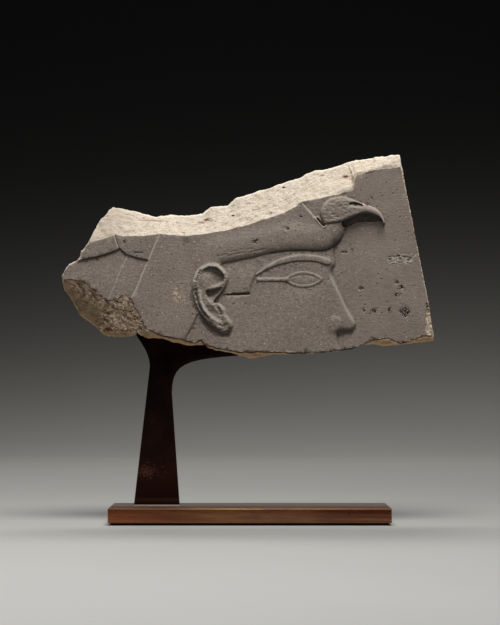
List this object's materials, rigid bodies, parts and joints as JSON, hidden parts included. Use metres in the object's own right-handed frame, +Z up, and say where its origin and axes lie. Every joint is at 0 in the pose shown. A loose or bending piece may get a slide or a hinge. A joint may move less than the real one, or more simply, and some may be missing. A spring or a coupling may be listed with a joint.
{
  "type": "carved relief fragment",
  "caption": "Broken fragment of a stone wall relief, a head in profile with a vulture headdress, on a metal display stand.",
  "frame": {"origin": "on the floor under the middle of the whole object", "axes": "+Z up, +X the way the carved head looks, -Y the way the carved face looks, so the stand's depth is along Y"},
  "size_m": [0.3385, 0.0762, 0.3364],
  "materials": {
    "stone": "worked face in matt grey brown, fresh cream breaks, a brown weathered chip",
    "stem_metal": "dark brown patina with a wax sheen",
    "base_metal": "brown patina with a wax sheen",
    "pad": "matt black"
  },
  "bodies": {
    "root": {"relief_slab": "stone", "stem": "stem_metal", "base_plate": "base_metal", "base_pad": "pad"}
  },
  "joints": []
}
